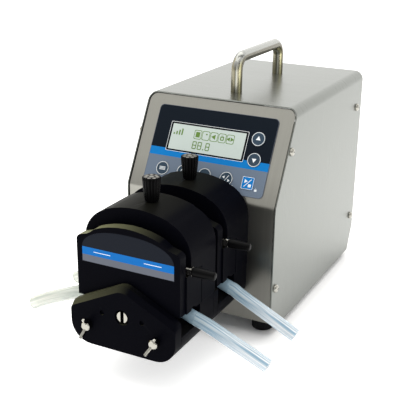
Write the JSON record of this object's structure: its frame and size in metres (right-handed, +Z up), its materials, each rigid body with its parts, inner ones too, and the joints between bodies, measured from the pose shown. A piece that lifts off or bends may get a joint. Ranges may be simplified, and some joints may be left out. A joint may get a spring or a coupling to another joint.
{
  "type": "peristaltic pump",
  "caption": "Bench peristaltic pump: a brushed steel drive with a sloping keypad and display, carrying stacked black roller heads with lift-up tube clamps.",
  "frame": {"origin": "on the standing surface under the middle of the pump without its free tube ends", "axes": "+Z up; -Y is the front, where the heads and keypad are; +X is to the right of someone facing the front, the side that the closed levers point to"},
  "size_m": [0.2782, 0.4512, 0.2923],
  "materials": {
    "brushed_stainless": "brushed along the drive's length",
    "polished_steel": "polished",
    "zinc_sheet": "plain zinc-plated sheet",
    "motor_paint": "satin black",
    "black_moulding": "fine moulded grain",
    "black_rubber": "matt",
    "panel_film": "printed film with navy, blue and grey-blue bands",
    "key_slate": "printed film",
    "key_blue": "printed film",
    "window_lens": "clear",
    "circuit_board": "solder mask",
    "roller_nylon": "turned",
    "aluminium": "machined",
    "silicone_tube": "translucent"
  },
  "bodies": {
    "drive": {"base_tray": "zinc_sheet", "control_board": "circuit_board", "display_lens": "window_lens", "foot_1": "black_rubber", "foot_2": "black_rubber", "foot_3": "black_rubber", "foot_4": "black_rubber", "front_panel": "brushed_stainless", "handle": "polished_steel", "head_1_base": "black_moulding", "head_1_guide_left": "polished_steel", "head_1_guide_right": "polished_steel", "head_1_pump_tube": "silicone_tube", "head_1_tube_left": "silicone_tube", "head_1_tube_right": "silicone_tube", "head_2_base": "black_moulding", "head_2_guide_left": "polished_steel", "head_2_guide_right": "polished_steel", "head_2_pump_tube": "silicone_tube", "head_2_tube_left": "silicone_tube", "head_2_tube_right": "silicone_tube", "head_cover": "black_moulding", "head_spacer": "black_moulding", "keypad_film": "panel_film", "lcd_module": "zinc_sheet", "power_inlet": "black_moulding", "power_supply": "zinc_sheet", "rear_panel": "brushed_stainless", "signal_socket": "zinc_sheet", "stepper_motor": "motor_paint", "wrap_cover": "brushed_stainless"},
    "rotor": {"drive_shaft": "polished_steel", "head_1_rotor": "aluminium", "head_2_rotor": "aluminium"},
    "wing_screw_left": {"wing_screw_left": "polished_steel"},
    "wing_screw_right": {"wing_screw_right": "polished_steel"},
    "power_switch": {"power_switch": "black_moulding"},
    "head_1_roller_1": {"head_1_roller_1": "roller_nylon"},
    "head_1_roller_2": {"head_1_roller_2": "roller_nylon"},
    "head_1_roller_3": {"head_1_roller_3": "roller_nylon"},
    "head_1_top": {"head_1_front_frame": "black_moulding", "head_1_pressure_block": "black_moulding"},
    "head_1_lever": {"head_1_lever": "polished_steel", "head_1_grip": "black_moulding"},
    "head_1_knob": {"head_1_knob": "black_moulding"},
    "head_2_roller_1": {"head_2_roller_1": "roller_nylon"},
    "head_2_roller_2": {"head_2_roller_2": "roller_nylon"},
    "head_2_roller_3": {"head_2_roller_3": "roller_nylon"},
    "head_2_top": {"head_2_front_frame": "black_moulding", "head_2_pressure_block": "black_moulding"},
    "head_2_lever": {"head_2_lever": "polished_steel", "head_2_grip": "black_moulding"},
    "head_2_knob": {"head_2_knob": "black_moulding"},
    "key_up": {"key_up": "key_slate"},
    "key_down": {"key_down": "key_slate"},
    "key_menu": {"key_menu": "key_slate"},
    "key_mode": {"key_mode": "key_slate"},
    "key_prime": {"key_prime": "key_slate"},
    "key_direction": {"key_direction": "key_slate"},
    "key_start_stop": {"key_start_stop": "key_blue"}
  },
  "joints": [
    {"name": "rotor_spin", "type": "hinge", "parent": "drive", "child": "rotor", "pos_m": [0, 0, 0.0775], "axis": [0, 1, 0], "continuous": true},
    {"name": "head_1_roller_1_spin", "type": "hinge", "parent": "rotor", "child": "head_1_roller_1", "pos_m": [-0.01775, -0.17225, 0.08775], "axis": [0, 1, 0], "continuous": true},
    {"name": "head_1_roller_2_spin", "type": "hinge", "parent": "rotor", "child": "head_1_roller_2", "pos_m": [0, -0.17225, 0.057], "axis": [0, 1, 0], "continuous": true},
    {"name": "head_1_roller_3_spin", "type": "hinge", "parent": "rotor", "child": "head_1_roller_3", "pos_m": [0.01775, -0.17225, 0.08775], "axis": [0, 1, 0], "continuous": true},
    {"name": "head_1_lift", "type": "slide", "parent": "drive", "child": "head_1_top", "axis": [0, 0, 1], "range_m": [0, 0.014]},
    {"name": "head_1_lever_swing", "type": "hinge", "parent": "head_1_top", "child": "head_1_lever", "pos_m": [0, -0.1859, 0.129], "axis": [0, -1, 0], "range_deg": [0, 180]},
    {"name": "head_1_knob_turn", "type": "hinge", "parent": "head_1_top", "child": "head_1_knob", "pos_m": [0.0018, -0.15615, 0.1789], "axis": [0, 0, 1], "range_deg": [-160, 160]},
    {"name": "head_2_roller_1_spin", "type": "hinge", "parent": "rotor", "child": "head_2_roller_1", "pos_m": [-0.01775, -0.09495, 0.08775], "axis": [0, 1, 0], "continuous": true},
    {"name": "head_2_roller_2_spin", "type": "hinge", "parent": "rotor", "child": "head_2_roller_2", "pos_m": [0, -0.09495, 0.057], "axis": [0, 1, 0], "continuous": true},
    {"name": "head_2_roller_3_spin", "type": "hinge", "parent": "rotor", "child": "head_2_roller_3", "pos_m": [0.01775, -0.09495, 0.08775], "axis": [0, 1, 0], "continuous": true},
    {"name": "head_2_lift", "type": "slide", "parent": "drive", "child": "head_2_top", "axis": [0, 0, 1], "range_m": [0, 0.014]},
    {"name": "head_2_lever_swing", "type": "hinge", "parent": "head_2_top", "child": "head_2_lever", "pos_m": [0, -0.1086, 0.129], "axis": [0, -1, 0], "range_deg": [0, 180]},
    {"name": "head_2_knob_turn", "type": "hinge", "parent": "head_2_top", "child": "head_2_knob", "pos_m": [0.0018, -0.07885, 0.1789], "axis": [0, 0, 1], "range_deg": [-160, 160]},
    {"name": "key_up_press", "type": "slide", "parent": "drive", "child": "key_up", "axis": [0, 0.8736, -0.4866], "range_m": [0, 0.0005], "stiffness_N_per_m": 400, "springref_m": -0.0005},
    {"name": "key_down_press", "type": "slide", "parent": "drive", "child": "key_down", "axis": [0, 0.8736, -0.4866], "range_m": [0, 0.0005], "stiffness_N_per_m": 400, "springref_m": -0.0005},
    {"name": "key_menu_press", "type": "slide", "parent": "drive", "child": "key_menu", "axis": [0, 0.8736, -0.4866], "range_m": [0, 0.0005], "stiffness_N_per_m": 400, "springref_m": -0.0005},
    {"name": "key_mode_press", "type": "slide", "parent": "drive", "child": "key_mode", "axis": [0, 0.8736, -0.4866], "range_m": [0, 0.0005], "stiffness_N_per_m": 400, "springref_m": -0.0005},
    {"name": "key_prime_press", "type": "slide", "parent": "drive", "child": "key_prime", "axis": [0, 0.8736, -0.4866], "range_m": [0, 0.0005], "stiffness_N_per_m": 400, "springref_m": -0.0005},
    {"name": "key_direction_press", "type": "slide", "parent": "drive", "child": "key_direction", "axis": [0, 0.8736, -0.4866], "range_m": [0, 0.0005], "stiffness_N_per_m": 400, "springref_m": -0.0005},
    {"name": "key_start_stop_press", "type": "slide", "parent": "drive", "child": "key_start_stop", "axis": [0, 0.8736, -0.4866], "range_m": [0, 0.0005], "stiffness_N_per_m": 400, "springref_m": -0.0005},
    {"name": "wing_screw_left_turn", "type": "hinge", "parent": "drive", "child": "wing_screw_left", "pos_m": [-0.0378, -0.21215, 0.0615], "axis": [0, -1, 0], "continuous": true},
    {"name": "wing_screw_right_turn", "type": "hinge", "parent": "drive", "child": "wing_screw_right", "pos_m": [0.0378, -0.21215, 0.0615], "axis": [0, -1, 0], "continuous": true},
    {"name": "power_switch_rock", "type": "hinge", "parent": "drive", "child": "power_switch", "pos_m": [-0.01825, 0.21835, 0.0685], "axis": [1, 0, 0], "range_deg": [0, 16]}
  ],
  "couplings": [
    {"joint": "head_1_roller_1_spin", "follows": "rotor_spin", "ratio": -4.1538},
    {"joint": "head_1_roller_2_spin", "follows": "rotor_spin", "ratio": -4.1538},
    {"joint": "head_1_roller_3_spin", "follows": "rotor_spin", "ratio": -4.1538},
    {"joint": "head_1_lever_swing", "follows": "head_1_lift", "rad_per_m": 224.39},
    {"joint": "head_2_roller_1_spin", "follows": "rotor_spin", "ratio": -4.1538},
    {"joint": "head_2_roller_2_spin", "follows": "rotor_spin", "ratio": -4.1538},
    {"joint": "head_2_roller_3_spin", "follows": "rotor_spin", "ratio": -4.1538},
    {"joint": "head_2_lever_swing", "follows": "head_2_lift", "rad_per_m": 224.39}
  ]
}
